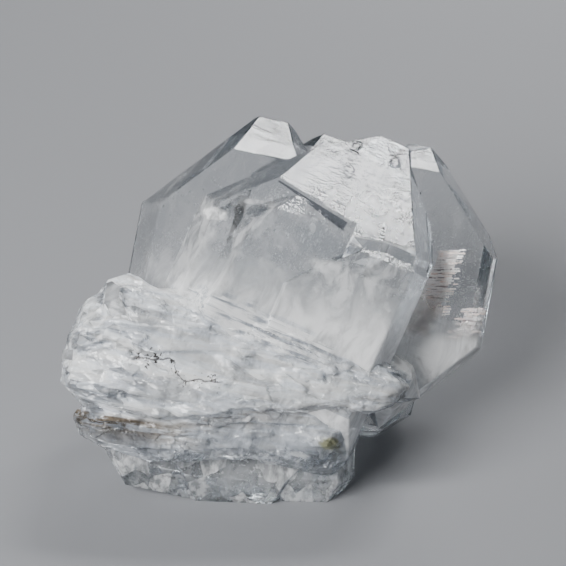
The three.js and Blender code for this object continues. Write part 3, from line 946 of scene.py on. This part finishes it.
def sheets_piece(name, tree, material, sheets, quartz, flake_size, seed, **shared):
    """One piece from a list of sheets. Their own values and the shared ones go into the tree's inputs."""
    body = bmesh.new()
    for index, sheet in enumerate(sheets):
        values = {label.capitalize(): value for label, value in {**shared, **sheet}.items()}
        values["Width"], values["Height"] = (side * MM for side in sheet["size"])
        values["Flake"] = flake_size
        values["Place"] = placed(*sheet["at"])
        values["Turn"] = sheet_turn(sheet)
        values["Seed"] = seed + index
        values["Quartz"] = quartz
        values["Material"] = material
        mesh = nodes_mesh(tree, values)
        body.from_mesh(mesh)
        bpy.data.meshes.remove(mesh)
    for layer in list(body.verts.layers.float_vector.values()):
        body.verts.layers.float_vector.remove(layer)
    for face in body.faces:
        face.material_index = 0
    return finished_object(name, body, material)


def veil_piece(name, veils, quartz, density, flake_size, seed):
    shared = dict(low=0.0, bend=VEIL_BEND * MM, density=density * 1.0)
    return sheets_piece(name, veil_tree(), veil_material(name), veils, quartz, flake_size, seed, **shared)


def crack_piece(name, cracks, material):
    """One piece from a list of thin plates."""
    body = bmesh.new()
    for crack in cracks:
        base = Matrix.Translation(placed(*crack["at"])) @ sheet_turn(crack).to_matrix().to_4x4()
        low, high = (
            [body.verts.new(base @ (Vector((x, y, w)) * MM)) for x, y in crack["corners"]]
            for w in (-CRACK_THICKNESS / 2, CRACK_THICKNESS / 2)
        )
        body.faces.new(low)
        body.faces.new(high)
        for i in range(len(low)):
            j = (i + 1) % len(low)
            body.faces.new((low[i], low[j], high[j], high[i]))
    bmesh.ops.recalc_face_normals(body, faces=body.faces)
    return finished_object(name, body, material)


def veil_material(name):
    """White, with a little grain in its brightness."""
    material, shader, place = new_material(name)
    feed(place.clouds(0.9).tinted(*VEIL_COLOURS), shader.inputs["Base Color"])
    feed(place.clouds(2.0).eased(0.3, 0.7, 0.25, 0.5), shader.inputs["Roughness"])
    return material


def streak_material():
    """Pearly white, going pinkish brown in places."""
    material, shader, place = new_material("striated_veil")
    share = place.stretched((0.5, 1.6, 1.0)).clouds(0.8).eased(0.4, 0.68)
    feed(share.tinted(*STREAK_COLOURS), shader.inputs["Base Color"])
    feed(place.clouds(2.0).eased(0.3, 0.7, 0.2, 0.4), shader.inputs["Roughness"])
    shader.inputs["Metallic"].default_value = PEARL
    return material


def healed_material():
    """Pinkish white with darker, duller level lines."""
    material, shader, place = new_material("healed_plane")
    lines = place.stretched((0.12, 2.4, 1.0), 0.03).clouds(1.0, 3.0, 0.6)
    feed(lines.eased(0.4, 0.5).tinted(*HEALED_COLOURS), shader.inputs["Base Color"])
    feed(lines.eased(0.3, 0.7, 0.18, 0.4), shader.inputs["Roughness"])
    feed(lines.eased(0.4, 0.5, 0.0, PEARL), shader.inputs["Metallic"])
    return material


# ---- studio

FLOOR_GAP = 0.05  # millimetres of air, so that the resting face is seen as glass on a floor
FLOOR_REACH = 1.5  # metres from its middle to each side
FLOOR_ROUGHNESS = 0.7
WORLD_COLOUR = (0.9, 0.95, 1.0, 1.0)
WORLD_STRENGTH = 0.07

# Soft lights in the frame's own directions: place, aim, width and height in millimetres, and power in watts.
LIGHTS = {
    "overhead": ((150, 232, 420), (150, 232, 0), (205, 62), 0.85),
    "key": ((-300, -230, 340), (0, 0, 12), (290, 290), 3.0),
    "rim": ((120, 420, 150), (0, 0, 15), (300, 180), 0.7),
}


def floor_piece(sizes):
    material, shader, _ = new_material("floor")
    shader.inputs["Base Color"].default_value = (*sizes.floor_colour, 1.0)
    shader.inputs["Roughness"].default_value = FLOOR_ROUGHNESS
    body = bmesh.new()
    sunk = Matrix.Translation((0, 0, -FLOOR_GAP * MM))
    bmesh.ops.create_grid(body, x_segments=1, y_segments=1, size=FLOOR_REACH, matrix=sunk)
    return finished_object("floor", body, material)


def softbox(name, place, aim, size, power):
    light = bpy.data.lights.new(name, "AREA")
    light.shape = "RECTANGLE"
    light.size = size[0] * MM
    light.size_y = size[1] * MM
    light.energy = power
    lamp = bpy.data.objects.new(name, light)
    lamp.location = Vector(place) * MM
    lamp.rotation_euler = (Vector(aim) - Vector(place)).to_track_quat("-Z", "Y").to_euler()
    bpy.context.collection.objects.link(lamp)


def world_light():
    world = bpy.data.worlds.new("studio")
    bpy.context.scene.world = world
    world.use_nodes = True
    background = world.node_tree.nodes["Background"]
    background.inputs["Color"].default_value = WORLD_COLOUR
    background.inputs["Strength"].default_value = WORLD_STRENGTH


def camera():
    lens = bpy.data.cameras.new("camera")
    lens.sensor_width = SENSOR_WIDTH
    lens.lens = SENSOR_WIDTH * VIEW_DISTANCE / VIEW_WIDTH
    lens.clip_start = NEAREST_SEEN
    made = bpy.data.objects.new("camera", lens)
    made.location = placed(*VIEW_CENTRE, VIEW_DISTANCE)
    made.rotation_euler = (FACE_SLOPE, 0, 0)
    bpy.context.collection.objects.link(made)
    bpy.context.scene.camera = made
    bpy.context.scene.view_settings.look = "AgX - Medium High Contrast"


# ---- add-on


class FadenQuartzSizes(bpy.types.PropertyGroup):
    """Sizes and colours that change the cluster's look."""

    facet: bpy.props.FloatProperty(
        name="Facet", description="Longest edge on the broken root", default=0.42 * MM, unit="LENGTH"
    )
    breaking: bpy.props.FloatProperty(
        name="Breaking", description="How deeply the root is broken up, as a factor", default=1.0, min=0.0
    )
    milkiness: bpy.props.FloatProperty(
        name="Milkiness", description="How much of the haze shows", default=1.0, subtype="FACTOR", max=1.0
    )
    glow_depth: bpy.props.FloatProperty(
        name="Glow depth", description="How far light spreads in milky quartz", default=MM, unit="LENGTH"
    )
    absorption: bpy.props.FloatProperty(
        name="Absorption", description="Density of the clear quartz's faint tint, per metre", default=14.0
    )
    veil_density: bpy.props.FloatProperty(
        name="Veil density", description="Flakes strewn on a square metre of veil", default=1.2e8, min=0.0
    )
    flake: bpy.props.FloatProperty(
        name="Flake", description="Radius of a flake in a cloud", default=0.1 * MM, unit="LENGTH"
    )
    streak: bpy.props.FloatProperty(
        name="Streak", description="Half the length of a streak", default=0.42 * MM, unit="LENGTH"
    )
    floor_colour: bpy.props.FloatVectorProperty(
        name="Floor", description="Colour of the studio floor", default=(0.3, 0.305, 0.32), subtype="COLOR"
    )


class QUARTZ_OT_body(bpy.types.Operator):
    """Makes the quartz: flat clear faces and a broken, milky root"""

    bl_idname = "quartz.body"
    bl_label = "Quartz"

    def execute(self, context):
        piece = quartz_piece(context.scene.faden_quartz)
        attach(piece, BODY)
        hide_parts(NODE)
        return {"FINISHED"}


class QUARTZ_OT_veils(bpy.types.Operator):
    """Makes the clouds, wisps, streaks and bright cracks inside the quartz"""

    bl_idname = "quartz.veils"
    bl_label = "Veils"

    def execute(self, context):
        sizes = context.scene.faden_quartz
        quartz = context.scene.objects["quartz"]
        pieces = [
            veil_piece("milky_clouds", CLOUDS, quartz, sizes.veil_density, sizes.flake, CLOUD_SEED),
            veil_piece("clear_wisps", WISPS, quartz, sizes.veil_density, sizes.flake * WISP_FLAKE, WISP_SEED),
            sheets_piece(
                "striated_veil", streak_tree(), streak_material(), STREAKS, quartz, sizes.streak, STREAK_SEED
            ),
            crack_piece("bright_cracks", CRACKS, veil_material("bright_cracks")),
            crack_piece("healed_planes", HEALED_PLANES, healed_material()),
        ]
        for piece in pieces:
            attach(piece, BODY)
        return {"FINISHED"}


class QUARTZ_OT_stage(bpy.types.Operator):
    """Sets up the floor, the soft lights and the camera"""

    bl_idname = "quartz.stage"
    bl_label = "Stage"

    def execute(self, context):
        floor_piece(context.scene.faden_quartz)
        for name, given in LIGHTS.items():
            softbox(name, *given)
        world_light()
        camera()
        return {"FINISHED"}


class QUARTZ_PT_panel(bpy.types.Panel):
    bl_label = "Faden Quartz"
    bl_idname = "QUARTZ_PT_panel"
    bl_space_type = "VIEW_3D"
    bl_region_type = "UI"
    bl_category = "Quartz"

    def draw(self, context):
        for name in FadenQuartzSizes.__annotations__:
            self.layout.prop(context.scene.faden_quartz, name)
        for operator in (QUARTZ_OT_body, QUARTZ_OT_veils, QUARTZ_OT_stage):
            self.layout.operator(operator.bl_idname)


CLASSES = (FadenQuartzSizes, QUARTZ_OT_body, QUARTZ_OT_veils, QUARTZ_OT_stage, QUARTZ_PT_panel)


def register():
    for cls in CLASSES:
        bpy.utils.register_class(cls)
    bpy.types.Scene.faden_quartz = bpy.props.PointerProperty(type=FadenQuartzSizes)


def unregister():
    del bpy.types.Scene.faden_quartz
    for cls in reversed(CLASSES):
        bpy.utils.unregister_class(cls)


def main():
    register()
    bpy.ops.quartz.stage()
    bpy.ops.quartz.body()
    bpy.ops.quartz.veils()


if __name__ == "__main__":
    main()
